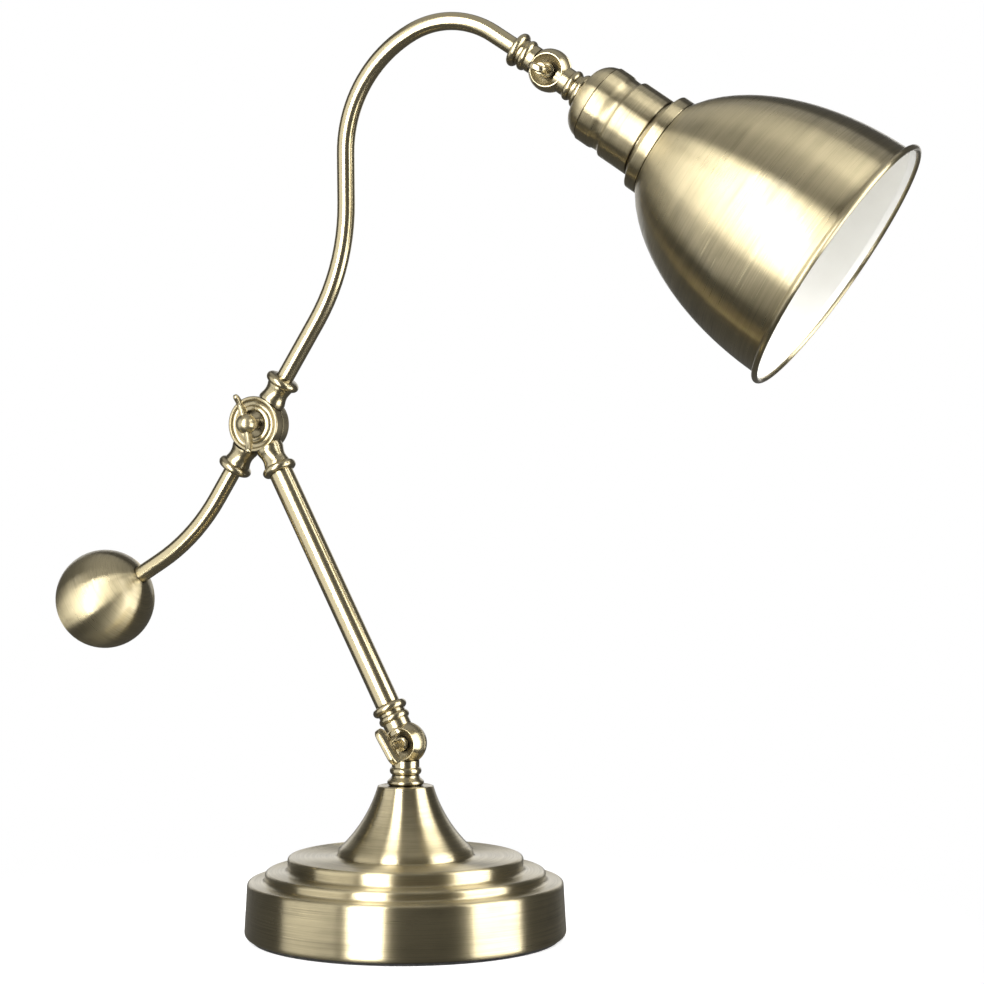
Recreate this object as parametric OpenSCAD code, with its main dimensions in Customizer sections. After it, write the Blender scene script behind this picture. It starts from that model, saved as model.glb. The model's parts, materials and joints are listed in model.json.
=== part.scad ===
// Swing arm desk lamp. A weighted round base carries a straight lower arm on a ball knuckle. At its
// top a two-plate hub holds one rigid lever: an S-shaped upper arm, and a curved arm with a ball
// that counterweights it. A bell shade hangs from the upper arm on a second ball knuckle.
//
// Millimetres, +Z up. The origin is the centre of the underside of the base. The arms swing in the
// XZ plane, the shade looks towards +X, and the clamp screws face -Y, which is the front.

/* [Base] */
// Diameter of the base cover
base_d = 180; // [174:1:186]
// Height of the outer step's top
step_1_h = 32.3; // [31:0.1:33.5]
// Diameter of the middle step
step_2_d = 157; // [152:1:162]
// Height of the middle step's top
step_2_h = 38; // [37:0.1:39.5]
// Diameter of the top step
step_3_d = 132; // [126:1:138]
// Height of the top step
step_3_h = 46; // [44.5:0.1:47]
// Diameter of the cone's foot
cone_foot_d = 75; // [70:1:80]
// Diameter of the cone's top
cone_top_d = 31.2; // [30:0.1:34]
// Height of the cone's top
cone_top_h = 85; // [84:0.1:86]
// Radius of the cone's hollow flare
flare_r = 77.2; // [70:0.1:90]
// Thickness of the spun cover
cover_wall = 1.2; // [0.8:0.1:1.5]
// Diameter of the iron weight
weight_d = 150; // [120:1:160]
// Diameter of the hollow threaded rod
rod_d = 10; // [9:0.5:10.5]
// Diameter of the mains cord that the bushing takes
cord_d = 6.5; // [5:0.1:7]

/* [Knuckles] */
// Diameter of a knuckle's ball
knuckle_d = 24; // [23:0.1:25]
// Diameter of the dish in its front
dish_d = 17; // [15:0.1:18]
// Diameter of its neck
neck_d = 15.4; // [14:0.1:16]
// Diameter of the bead next to the ball
bead_a_d = 17.8; // [17:0.1:19]
// Diameter of the bead at the tube
bead_b_d = 20; // [19.5:0.1:21]
// Diameter of the clamp screws
screw_d = 4.8; // [4:0.1:5]
// Length of the flat key on the lower clamp screw
lower_key_l = 22; // [18:0.5:23]
// Length of the shorter key on the head's clamp screw
head_key_l = 11; // [10:0.5:14]

/* [Arms] */
// Height of the lower knuckle's pivot
knuckle_h = 109; // [108:0.5:110]
// Distance from the lower knuckle's pivot to the hub's
lower_arm_l = 202; // [180:1:220]
// Lean of the lower arm from upright, in degrees
lower_lean = 27.7; // [20:0.1:35]
// Diameter of the lower tube
lower_tube_d = 14; // [13.5:0.1:14.5]
// Diameter of the upper and counterweight tubes
arm_tube_d = 10; // [9.5:0.1:10.5]
// Wall of the tubes
tube_wall = 1; // [0.8:0.1:1.2]
// Lean of the lever at the hub from upright, in degrees
lever_lean = 32.8; // [30:0.1:36]
// Angle that the upper arm is turned in its collar, in degrees
upper_turn = 7.8; // [0:0.1:12]
// Distance from the hub's pivot to the first bend
upper_start = 69; // [60:0.5:80]
// Radius of the first bend
s_bend_r = 128; // [110:1:150]
// Turn of the first bend, in degrees
s_bend_turn = 31.5; // [25:0.5:35]
// Upright length between the bends
upright_l = 27.4; // [15:0.5:40]
// Radius of the crook's first, wider bend
crook_1_r = 75; // [65:1:85]
// Turn of the crook's first bend, in degrees
crook_1_turn = 62; // [55:0.5:66]
// Radius of the crook's second, tighter bend
crook_2_r = 47.3; // [42:0.5:55]
// Turn of the crook's second bend, in degrees
crook_2_turn = 61; // [55:0.5:65]
// Length from the crook to the head knuckle's pivot
crook_end = 38.5; // [34:0.5:45]
// Distance from the hub's pivot to the counterweight arm's bend
weight_start = 50.5; // [45:0.5:60]
// Radius of that bend
weight_bend_r = 117; // [90:1:130]
// Turn of that bend, in degrees
weight_bend_turn = 26.3; // [20:0.5:30]
// Length from that bend to the ball's centre
weight_end = 44.6; // [40:0.5:50]
// Diameter of the counterweight ball
ball_d = 58; // [50:1:62]

/* [Hub] */
// Diameter of the hub's plates
hub_d = 32; // [31:0.5:33]
// Thickness of the two plates together
hub_t = 15; // [14:0.5:16]
// Diameter of the hub collars' beads
collar_d = 20; // [19:0.1:20.5]
// Span of the butterfly clamp screw
wing_span = 35; // [30:0.5:36]

/* [Head] */
// Angle of the shade's axis below level, in degrees
shade_dip = 35.2; // [30:0.1:40]
// Diameter of the lampholder cup
cup_d = 45.2; // [44:0.1:46]
// Diameter of the lampholder sleeve
sleeve_d = 47; // [46.2:0.1:48]
// Diameter of the gallery on top of the shade
gallery_d = 57.6; // [56:0.1:58]
// Diameter of the bell at its mouth, without the rolled rim
bell_d = 143.4; // [138:0.1:148]
// Length of the bell's full quarter curve
bell_l = 119; // [115:0.5:123]
// Thickness of the shade
shade_wall = 0.9; // [0.7:0.1:1.2]
// Radius of the rolled rim's wire
rim_r = 1.6; // [1.3:0.1:1.8]
// Inside diameter of the lamp thread
lamp_thread_d = 26.7; // [26.5:0.1:27]

/* [Hidden] */

$fn = 64;
big = 120;                // edge of a block that covers half of any joint
plate_gap = 0.8;          // space between the two halves of a pivot, which holds its washer
washer_t = 0.6;           // thickness of the friction washers
swing_gap = 0.4;          // space round a half that turns beside another half's neck
bore_gap = 0.1;           // radial clearance of a clamp screw in its bore
slide_gap = 0.05;         // radial clearance of parts that slide over one another
lead_r = 2.2;             // radius of the inner lead
passage_r = 3;            // radius of the lead's passages
ring_turn = 6;            // turn between two rings of a bent tube, in degrees
ring_sides = 20;          // sides of a bent tube

// the base, from the floor up
pad_t = 1.5;
plate_t = 1.2;
corner_r = 3;             // lower edge of the cover
edge_r = 2;               // edges and coves of the steps
side_draft = 1.5;         // how much narrower the cover's side is at its top
weight_z = 10;
weight_t = 20;
bushing_z = 15;
rod_r = rod_d / 2;
rod_bore_r = rod_r - 1.5;
rod_bottom = 3.5;

// knuckles, measured from the pivot along a neck
knuckle_r = knuckle_d / 2;
dish_face = 7;            // distance of the dish's rim from the split
dish_r = 12;              // radius of the dish's hollow
dish_centre = dish_face + sqrt(dish_r * dish_r - dish_d * dish_d / 4);
neck_start = 6;
bead_a_z = 15.4;
bead_b_z = 21.4;
bead_w = 4.8;
neck_end = 24;
socket_z = 18;            // where a tube or rod starts in its neck
key_t = 3.6;
key_h = 9;
key_reach = 22.5;         // distance of the key's middle from the split
lower_key_turn = -4;      // turn of the key from the arm's direction
head_key_turn = -10;

// hub collars, measured from the pivot along a collar
hub_r = hub_d / 2;
collar_start = 10;
flare_z = 16.8;
flare_d = 15.8;
waist_depth = 1.1;
collar_bead_z = 28.8;
collar_bead_w = 5;
collar_end = 31.4;
collar_socket_z = 22;
spigot_z = 40;            // how far the front plate's spigot reaches into the lower tube
lower_tube_z = 27.4;      // where the lower tube starts, short of the hub's pivot

lead_stop = hub_r + 1;    // where the inner leads stop, clear of the hub's plates
into_ball = 20;           // how deep the counterweight tube sits in its ball

// places and headings, in the XZ plane, from +X towards +Z
lower_heading = 90 + lower_lean;
lever_heading = 90 - lever_lean;
hub_x = lower_arm_l * cos(lower_heading);
hub_z = knuckle_h + lower_arm_l * sin(lower_heading);
upper_path = [
    ["line", upper_start], ["arc", s_bend_r, s_bend_turn], ["line", upright_l],
    ["arc", crook_1_r, -crook_1_turn], ["arc", crook_2_r, -crook_2_turn], ["line", crook_end],
];
weight_path = [
    ["line", weight_start], ["arc", weight_bend_r, -weight_bend_turn], ["line", weight_end],
];
hub_state = [hub_x, hub_z, lever_heading];
head_state = path_end(hub_state, upper_path);
ball_state = path_end([hub_x, hub_z, lever_heading - 180], weight_path);

// the head, measured from the head knuckle's pivot along the shade's axis
cup_z = 22.6;             // open end of the cup's dome, at the knuckle's neck
dome_r = 13;
dome_z = cup_z + dome_r;
cup_band_z = 43;
cup_end = 46;
cup_wall = 1.2;
sleeve_end = 69;
sleeve_bore_r = 20.4;
gallery_end = 79;
holder_r = 20;            // porcelain body and the threaded skirt that passes through the shade
skirt_bore_r = holder_r + slide_gap;
holder_z = 48;
holder_end = 93;
shell_wall = 0.8;
shell_z = 66;
shell_end = 91;
nipple_z = 18;
nipple_end = 36;
bell_z = gallery_end;
bell_mouth_z = gallery_end + 109;
lip_w = 2.7;              // how far the lip turns out
lip_z = 4.6;              // length of the turned-out lip
lining_t = 0.4;

// ---- helpers -------------------------------------------------------------------------------

// End of one path step. A state is [x, z, heading]; a step is ["line", length] or
// ["arc", radius, turn], where a positive turn bends from +X towards +Z.
function step_end(s, step) =
    step[0] == "line"
    ? [s[0] + step[1] * cos(s[2]), s[1] + step[1] * sin(s[2]), s[2]]
    : let (side = sign(step[2]), r = side * step[1], out = s[2] + step[2])
      [s[0] + r * (sin(out) - sin(s[2])), s[1] - r * (cos(out) - cos(s[2])), out];

// State at the end of a whole path.
function path_end(s, path, i = 0) =
    i == len(path) ? s : path_end(step_end(s, path[i]), path, i + 1);

// The same path with its first straight shortened by `front` and its last one by `back`.
function trimmed(path, front, back) =
    [for (i = [0 : len(path) - 1])
        i == 0 ? ["line", path[0][1] - front]
        : i == len(path) - 1 ? ["line", path[i][1] - back] : path[i]];

// Points of an arc in a turned outline: centre, radius, first and last angle.
function arc_points(cr, cz, r, a0, a1, n = 6) =
    [for (i = [0 : n]) let (a = a0 + (a1 - a0) * i / n) [cr + r * cos(a), cz + r * sin(a)]];

// Points its children's +Z along a heading in the XZ plane, with -Y left as the front.
module along(heading) {
    rotate([0, 90 - heading, 0]) children();
}

// Turns its children's +Z to the front, -Y.
module facing_front() {
    rotate([90, 0, 0]) children();
}

// States along a path that are close enough to draw its bends smoothly.
function path_stations(s, path, i = 0) =
    i == len(path) ? [s]
    : let (step = path[i], n = step[0] == "line" ? 1 : ceil(abs(step[2]) / ring_turn))
      concat([for (k = [0 : n - 1]) k == 0 ? s : step_end(s, ["arc", step[1], step[2] * k / n])],
             path_stations(step_end(s, step), path, i + 1));

// Ring of points round a state, square to its heading.
function ring_points(s, r) =
    [for (j = [0 : ring_sides - 1]) let (a = 360 * j / ring_sides)
        [s[0] - r * cos(a) * sin(s[2]), r * sin(a), s[1] + r * cos(a) * cos(s[2])]];

// Bent bar, or bent tube if inner_r is over 0, swept along a path from a start state.
module bent_tube(start, path, outer_r, inner_r = 0) {
    stations = path_stations(start, path);
    m = ring_sides;
    last = len(stations) - 1;
    inner = m * (last + 1);
    hollow = inner_r > 0;
    polyhedron(
        points = concat([for (s = stations) each ring_points(s, outer_r)],
                        hollow ? [for (s = stations) each ring_points(s, inner_r)] : []),
        faces = concat(
            [for (k = [0 : last - 1], j = [0 : m - 1]) let (a = k * m, n = (j + 1) % m)
                [a + j, a + n, a + m + n, a + m + j]],
            hollow ? [for (k = [0 : last - 1], j = [0 : m - 1]) let (a = inner + k * m, n = (j + 1) % m)
                [a + m + j, a + m + n, a + n, a + j]] : [],
            hollow ? [for (j = [0 : m - 1]) let (a = last * m, n = (j + 1) % m)
                [a + j, a + n, inner + a + n, inner + a + j]]
            : [[for (j = [0 : m - 1]) last * m + j]],
            hollow ? [for (j = [0 : m - 1]) let (n = (j + 1) % m) [inner + j, inner + n, n, j]]
            : [[for (j = [m - 1 : -1 : 0]) j]]));
}

module tube(r, from_z, to_z) {
    translate([0, 0, from_z]) cylinder(r = r, h = to_z - from_z);
}

// A rounded ring of width w whose middle is at height z.
module bead(d, w, z) {
    translate([0, 0, z]) {
        rotate_extrude() translate([(d - w) / 2, 0]) circle(d = w);
        cylinder(d = d - w, h = w, center = true);
    }
}

// Everything on one side of a pivot's split: side -1 is the front, 1 the back.
module pivot_side(side) {
    translate([-big / 2, side > 0 ? plate_gap / 2 : -big - plate_gap / 2, -big / 2])
        cube(big);
}

// Carries its children from the arms' plane into the plane of the turned upper arm.
module in_head_plane() {
    translate([hub_x, 0, hub_z]) along(lever_heading) rotate([0, 0, upper_turn])
        rotate([0, lever_heading - 90, 0]) translate([-hub_x, 0, -hub_z]) children();
}

module at_lower_arm() {
    translate([0, 0, knuckle_h]) along(lower_heading) children();
}

module at_hub() {
    translate([hub_x, 0, hub_z]) children();
}

// The head knuckle's pivot, with +Z along the upper arm's end or along the shade's axis.
module at_head_knuckle(heading) {
    in_head_plane() translate([head_state[0], 0, head_state[1]]) along(heading) children();
}

module at_shade() {
    at_head_knuckle(-shade_dip) children();
}

// Half a ball knuckle with its neck along +Z. The front half has the dish and a plain bore, the
// back half a blind bore for the screw's thread.
module knuckle_half(side, tube_d, last_bead = true) {
    difference() {
        union() {
            intersection() {
                sphere(d = knuckle_d);
                pivot_side(side);
            }
            difference() {
                union() {
                    tube(neck_d / 2, neck_start, last_bead ? neck_end : bead_a_z + bead_w / 2);
                    bead(bead_a_d, bead_w, bead_a_z);
                    if (last_bead) bead(bead_b_d, bead_w, bead_b_z);
                }
                difference() {
                    sphere(r = knuckle_r + swing_gap);
                    pivot_side(side);
                }
            }
        }
        tube(tube_d / 2, socket_z, neck_end + 1);
        tube(passage_r, knuckle_r - 2, socket_z + 1);
        if (side < 0) {
            translate([0, -dish_centre, 0]) sphere(r = dish_r);
            facing_front() cylinder(d = screw_d + 2 * bore_gap, h = knuckle_r);
        } else {
            facing_front() translate([0, 0, -knuckle_r + 3])
                cylinder(d = screw_d + 2 * bore_gap, h = knuckle_r);
        }
    }
}

module friction_washer(d) {
    facing_front() difference() {
        cylinder(d = d, h = washer_t, center = true);
        cylinder(d = screw_d + 2 * bore_gap, h = 2 * washer_t, center = true);
    }
}

// Clamp screw of a knuckle: threaded shank, seating flange, stem and a flat key with round ends.
module knuckle_screw(key_l) {
    flange_z = 4.7;
    facing_front() {
        tube(screw_d / 2, -7.5, key_reach);
        tube(4, flange_z, flange_z + 1.8);
        tube(3, flange_z, key_reach - key_h / 2 + 1);
        translate([-key_t / 2, 0, key_reach]) rotate([90, 0, 90]) linear_extrude(key_t) {
            square([key_l - key_h, key_h], center = true);
            for (end = [-1, 1]) translate([end * (key_l - key_h) / 2, 0]) circle(d = key_h);
        }
    }
}

// One plate of the hub, without its collars: side -1 is the front plate with its dished face.
module hub_disc(side) {
    face = hub_t / 2;
    difference() {
        facing_front() mirror([0, 0, side > 0 ? 1 : 0]) difference() {
            union() {
                tube(hub_r - 1, plate_gap / 2, face);
                tube(hub_r, plate_gap / 2, face - 1);
                translate([0, 0, face - 1]) rotate_extrude()
                    translate([hub_r - 1, 0]) circle(r = 1);
            }
            translate([0, 0, face + 0.6]) rotate_extrude()
                translate([hub_r - 3.8, 0]) circle(r = 2.2);
            if (side < 0) tube(7.4, 3.2, face + 1);
        }
        if (side < 0) {
            facing_front() cylinder(d = screw_d + 2 * bore_gap, h = hub_t);
        } else {
            facing_front() translate([0, 0, -face + 2])
                cylinder(d = screw_d + 2 * bore_gap, h = face);
        }
    }
}

// Waisted collar of the hub along +Z, cut clear of the other plate.
module hub_collar(side) {
    steps = 8;
    waist_end = collar_bead_z - collar_bead_w / 2;
    difference() {
        union() {
            rotate_extrude() polygon(concat(
                [[0, collar_start], [flare_d / 2, collar_start]],
                [for (i = [0 : steps]) let (t = i / steps)
                    [flare_d / 2 - waist_depth * sin(180 * t),
                     flare_z + (waist_end - flare_z) * t]],
                [[0, waist_end]]));
            tube(8.2, waist_end - 0.3, collar_end);
            bead(collar_d, collar_bead_w, collar_bead_z);
        }
        facing_front() intersection() {
            cylinder(r = hub_r + swing_gap, h = big, center = true);
            mirror([0, 0, side < 0 ? 1 : 0])
                translate([-big / 2, -big / 2, -plate_gap / 2]) cube(big);
        }
    }
}

// ---- base ----------------------------------------------------------------------------------

// Turned outline of the cover, from the floor to the cone's top, moved in by w.
function cover_outline(w) =
    let (r1 = base_d / 2, r2 = step_2_d / 2, r3 = step_3_d / 2,
         foot = cone_foot_d / 2, top = cone_top_d / 2,
         foot_z = step_3_h + 4,
         chord = norm([foot - top, cone_top_h - foot_z]),
         tilt = atan2(cone_top_h - foot_z, foot - top),
         rise = sqrt(flare_r * flare_r - chord * chord / 4),
         fr = (foot + top) / 2 + rise * sin(tilt),
         fz = (foot_z + cone_top_h) / 2 + rise * cos(tilt),
         a0 = atan2(foot_z - fz, foot - fr), a1 = atan2(cone_top_h - fz, top - fr))
    concat(
        arc_points(r1 - corner_r, pad_t + corner_r, corner_r - w, -90, 0),
        arc_points(r1 - side_draft - edge_r, step_1_h - edge_r, edge_r - w, 0, 90),
        arc_points(r2 + edge_r, step_1_h + edge_r, edge_r + w, 270, 180),
        arc_points(r2 - edge_r, step_2_h - edge_r, edge_r - w, 0, 90),
        arc_points(r3 + edge_r, step_2_h + edge_r, edge_r + w, 270, 180),
        arc_points(r3 - edge_r, step_3_h - edge_r, edge_r - w, 0, 90),
        [[foot + 0.6 - w, step_3_h - w], [foot + 0.6 - w, foot_z - 1.2 - w]],
        arc_points(fr, fz, flare_r + w, a0, a1, 10),
        [[0, cone_top_h - w], [0, pad_t + (w > 0 ? -1 : 0)]],
        w > 0 ? [[r1 - corner_r, pad_t - 1]] : []);

module base_cover() {
    color("darkkhaki") difference() {
        rotate_extrude($fn = 128) polygon(cover_outline(0));
        rotate_extrude($fn = 128) polygon(cover_outline(cover_wall));
        tube(rod_r, cone_top_h - 5, cone_top_h + 1);
        translate([0, base_d / 2 - 12, bushing_z]) rotate([-90, 0, 0])
            cylinder(d = cord_d + 4, h = 20);
    }
}

module base_weight() {
    color("dimgray") difference() {
        tube(weight_d / 2, weight_z, weight_z + weight_t);
        tube(rod_r + slide_gap, weight_z - 1, weight_z + weight_t + 1);
        translate([-4, 0, weight_z - 1]) cube([8, weight_d, weight_t - 4]);
    }
}

module base_plate() {
    color("silver") tube(base_d / 2 - corner_r - slide_gap, pad_t, pad_t + plate_t);
}

module foot_pad() {
    color("black") tube(base_d / 2 - 4, 0, pad_t);
}

// Hollow rod that pulls the neck, the cone and the weight together. A slot lets the lead in.
module base_rod() {
    color("goldenrod") difference() {
        tube(rod_r, rod_bottom, knuckle_h - socket_z);
        tube(rod_bore_r, rod_bottom - 1, knuckle_h);
        translate([-2.6, 0, rod_bottom - 1]) cube([5.2, rod_d, 24]);
    }
}

module rod_washer() {
    color("silver") difference() {
        tube(11, weight_z - 1.4, weight_z);
        tube(rod_r, 0, weight_z + 1);
    }
}

module rod_nut() {
    color("silver") difference() {
        translate([0, 0, weight_z - 6]) cylinder(d = 16, h = 4.6, $fn = 6);
        tube(rod_r, 0, weight_z + 1);
    }
}

module cable_bushing() {
    color("black") translate([0, base_d / 2 - side_draft - 6, bushing_z]) rotate([-90, 0, 0])
        difference() {
            union() {
                cylinder(d = cord_d + 4, h = 9);
                cylinder(d = cord_d + 8, h = 4);
                translate([0, 0, 7.4]) cylinder(d = cord_d + 7, h = 1.6);
            }
            translate([0, 0, -1]) cylinder(d = cord_d + 0.3, h = 12);
        }
}

// Flared ring between the cone's top and the lower knuckle's neck.
module neck_collar() {
    top_z = knuckle_h - bead_a_z - bead_w / 2;
    color("darkkhaki") difference() {
        union() {
            tube(8.2, cone_top_h, top_z);
            bead(bead_b_d + 0.6, 3.4, cone_top_h + 1.9);
            tube(9.2, cone_top_h, cone_top_h + 1.9);
        }
        tube(rod_r, cone_top_h - 1, top_z + 1);
    }
}

module lower_knuckle_base_half() {
    color("darkkhaki") translate([0, 0, knuckle_h]) rotate([0, 180, 0])
        knuckle_half(1, rod_d, false);
}

module lead_in_base() {
    bend_r = 8;
    start_y = base_d / 2 - 26;
    color("gray") rotate([0, 0, 90])
        bent_tube([start_y, bushing_z, 180],
                  [["line", start_y - bend_r], ["arc", bend_r, -90],
                   ["line", knuckle_h - socket_z - bushing_z - bend_r]], lead_r);
}

// ---- lower arm -----------------------------------------------------------------------------

module lower_knuckle_arm_half() {
    color("darkkhaki") at_lower_arm() knuckle_half(-1, lower_tube_d);
}

module lower_knuckle_washer() {
    color("gray") translate([0, 0, knuckle_h]) friction_washer(16);
}

module lower_tube() {
    color("khaki") at_lower_arm() difference() {
        tube(lower_tube_d / 2, socket_z, lower_arm_l - lower_tube_z);
        tube(lower_tube_d / 2 - tube_wall, 0, lower_arm_l);
    }
}

module hub_front_plate() {
    color("darkkhaki") at_hub() difference() {
        union() {
            hub_disc(-1);
            along(lower_heading - 180) difference() {
                union() {
                    hub_collar(-1);
                    tube(lower_tube_d / 2 - tube_wall, lower_tube_z - 1, spigot_z);
                }
                difference() {
                    tube(lower_tube_d / 2, lower_tube_z, collar_end + 1);
                    tube(lower_tube_d / 2 - tube_wall, 0, spigot_z);
                }
                tube(passage_r, collar_start + 3, spigot_z + 1);
            }
        }
        facing_front() tube(7.4, 3.2, hub_t);
    }
}

module lead_in_lower_arm() {
    color("gray") at_lower_arm() tube(lead_r, knuckle_r, lower_arm_l - lead_stop);
}

module lower_clamp_screw() {
    color("khaki") at_lower_arm() rotate([0, lower_key_turn, 0]) knuckle_screw(lower_key_l);
}

// ---- lever ---------------------------------------------------------------------------------

module hub_back_plate() {
    color("darkkhaki") at_hub() {
        hub_disc(1);
        for (heading = [lever_heading, lever_heading - 180]) along(heading) difference() {
            hub_collar(1);
            tube(arm_tube_d / 2, collar_socket_z, collar_end + 1);
            tube(passage_r, collar_start + 3, collar_end);
            facing_front() tube(screw_d, -hub_t, hub_t);
        }
    }
}

module hub_washer() {
    color("gray") at_hub() friction_washer(26);
}

module upper_tube() {
    color("khaki") in_head_plane()
        bent_tube(step_end(hub_state, ["line", collar_socket_z]),
                  trimmed(upper_path, collar_socket_z, socket_z),
                  arm_tube_d / 2, arm_tube_d / 2 - tube_wall);
}

module counterweight_tube() {
    color("khaki")
        bent_tube(step_end([hub_x, hub_z, lever_heading - 180], ["line", collar_socket_z]),
                  trimmed(weight_path, collar_socket_z, ball_d / 2 - into_ball),
                  arm_tube_d / 2, arm_tube_d / 2 - tube_wall);
}

// Solid ball with a small flat where the tube goes in.
module counterweight_ball() {
    flat = 0.6;
    color("darkkhaki") translate([ball_state[0], 0, ball_state[1]]) along(ball_state[2] - 180)
        difference() {
            sphere(d = ball_d, $fn = 96);
            tube(arm_tube_d / 2, ball_d / 2 - into_ball, ball_d);
            tube(ball_d / 2, ball_d / 2 - flat, ball_d);
        }
}

module head_knuckle_arm_half() {
    color("darkkhaki") at_head_knuckle(head_state[2] + 180) knuckle_half(1, arm_tube_d);
}

module head_knuckle_washer() {
    color("gray") at_head_knuckle(0) friction_washer(16);
}

module lead_in_upper_arm() {
    color("gray") in_head_plane()
        bent_tube(step_end(hub_state, ["line", lead_stop]),
                  trimmed(upper_path, lead_stop, knuckle_r), lead_r);
}

// Butterfly clamp screw: shank, round boss and two flared horns.
module hub_clamp_screw() {
    boss_r = 5.9;
    seat = 3.7;
    horn_t = 2.8;
    tip = wing_span / 2;
    color("khaki") at_hub() rotate([0, -14.5, 0]) facing_front() {
        tube(screw_d / 2, -5, seat + 1);
        tube(3.6, seat, 10);
        tube(boss_r - 1, 9, 15);
        translate([0, 0, 14.6]) sphere(r = boss_r);
        for (side = [0, 180]) rotate([0, 0, side]) translate([-horn_t / 2, 0, 0])
            rotate([90, 0, 90]) linear_extrude(horn_t)
                polygon([[3, 11.2], [8, 11.8], [13, 14], [tip - 1, 17.5], [tip, 20], [tip - 2.5, 21],
                         [12, 18.6], [7, 17.6], [3, 17.6]]);
    }
}

// ---- head ----------------------------------------------------------------------------------

module head_knuckle_shade_half() {
    color("darkkhaki") at_shade() knuckle_half(-1, rod_d);
}

module head_nipple() {
    color("goldenrod") at_shade() difference() {
        tube(rod_r, nipple_z, nipple_end);
        tube(rod_bore_r, nipple_z - 1, nipple_end + 1);
    }
}

module nipple_nut() {
    color("silver") at_shade() difference() {
        translate([0, 0, neck_end + cup_wall]) cylinder(d = 16, h = 4, $fn = 6);
        tube(rod_r, 0, nipple_end);
    }
}

module lampholder_cup() {
    r = cup_d / 2;
    floor_z = neck_end + cup_wall;
    inner_r = dome_r - cup_wall;
    color("darkkhaki") at_shade() difference() {
        rotate_extrude($fn = 96) polygon(concat(
            [[0, neck_end]],
            arc_points(r - dome_r, dome_z, dome_r, -asin((dome_z - neck_end) / dome_r), 0, 8),
            [[r, cup_band_z], [r - 0.9, cup_band_z + 1.4], [r - 0.9, cup_end], [0, cup_end]]));
        rotate_extrude($fn = 96) polygon(concat(
            [[0, floor_z]],
            arc_points(r - dome_r, dome_z, inner_r, -asin((dome_z - floor_z) / inner_r), 0, 8),
            [[sleeve_bore_r + 1, cup_band_z - 1], [sleeve_bore_r, cup_band_z],
             [sleeve_bore_r, cup_end + 1], [0, cup_end + 1]]));
        tube(rod_r, 0, cup_end);
    }
}

module lampholder_sleeve() {
    r = sleeve_d / 2;
    color("darkkhaki") at_shade() difference() {
        rotate_extrude($fn = 96) polygon([
            [0, cup_end], [r - 1.8, cup_end], [r - 1.8, cup_end + 1.6], [r - 0.5, cup_end + 3],
            [r, cup_end + 4.2], [r, sleeve_end - 2], [r - 0.6, sleeve_end], [0, sleeve_end]]);
        tube(sleeve_bore_r, cup_end - 1, sleeve_end + 1);
    }
}

// Porcelain body: a full drum inside the sleeve, and a skirt that carries the shade ring.
module lampholder_body() {
    color("white") at_shade() difference() {
        tube(holder_r, holder_z, holder_end);
        tube(lamp_thread_d / 2 + shell_wall, shell_z, holder_end + 1);
        tube(6, shell_z - 6, shell_z + 1);
        tube(passage_r, holder_z - 1, shell_z);
    }
}

module lamp_thread_shell() {
    color("gold") at_shade() difference() {
        tube(lamp_thread_d / 2 + shell_wall, shell_z, shell_end);
        tube(lamp_thread_d / 2, shell_z - 1, shell_end + 1);
    }
}

module lamp_contact() {
    color("gold") at_shade() {
        tube(5.4, shell_z - 6, shell_z - 5);
        tube(2.4, shell_z - 5, shell_z - 1);
    }
}

module lead_in_head() {
    color("gray") at_shade() tube(lead_r, knuckle_r, shell_z - 6);
}

module shade_gallery() {
    r = gallery_d / 2;
    color("darkkhaki") at_shade() difference() {
        rotate_extrude($fn = 96) polygon([
            [0, sleeve_end], [r - 4.2, sleeve_end], [r - 1.8, sleeve_end + 1.2],
            [r - 0.6, sleeve_end + 2.6], [r - 0.3, sleeve_end + 5], [r, sleeve_end + 6.5],
            [r, gallery_end], [0, gallery_end]]);
        tube(skirt_bore_r, 0, holder_end);
    }
}

// Outside radius of the bell at height z, a quarter ellipse.
function bell_r(z) = bell_d / 2 * sqrt(1 - pow((bell_mouth_z - z) / bell_l, 2));

// Wall of the bell between two offsets from its outside, open at its mouth.
function bell_curve(w, n = 20) =
    [for (i = [0 : n]) let (a = i / n, z = bell_z + (bell_mouth_z - bell_z) * a * (2 - a))
        [bell_r(z) - w, z + (i == 0 ? w : 0)]];

module bell_wall(w0, w1) {
    rotate_extrude($fn = 128) polygon(concat(
        [[skirt_bore_r, bell_z + w0]], bell_curve(w0),
        reversed(bell_curve(w1)),
        [[skirt_bore_r, bell_z + w1]]));
}

function reversed(list) = [for (i = [len(list) - 1 : -1 : 0]) list[i]];

// Spun bell with a turned-out lip and a rolled rim.
module shade() {
    mouth_r = bell_d / 2;
    color("darkkhaki") at_shade() {
        bell_wall(0, shade_wall);
        rotate_extrude($fn = 128) {
            polygon(concat(
                arc_points(mouth_r + lip_w, bell_mouth_z, lip_w, 180, 130, 4),
                [[mouth_r + lip_w - 0.4, bell_mouth_z + lip_z], [mouth_r + 1, bell_mouth_z + lip_z]],
                [[mouth_r - shade_wall, bell_mouth_z + 2], [mouth_r - shade_wall, bell_mouth_z]]));
            translate([mouth_r + lip_w, bell_mouth_z + lip_z - rim_r + 0.6]) circle(r = rim_r);
        }
    }
}

module shade_lining() {
    color("white") at_shade() bell_wall(shade_wall, shade_wall + lining_t);
}

module shade_ring() {
    top = bell_z + shade_wall + lining_t;
    color("white") at_shade() difference() {
        union() {
            tube(25.5, top, top + 2);
            tube(23.4, top, top + 7);
        }
        tube(skirt_bore_r, 0, holder_end);
    }
}

module head_clamp_screw() {
    color("khaki") at_shade() rotate([0, head_key_turn, 0]) knuckle_screw(head_key_l);
}

// ---- the lamp ------------------------------------------------------------------------------

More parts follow.
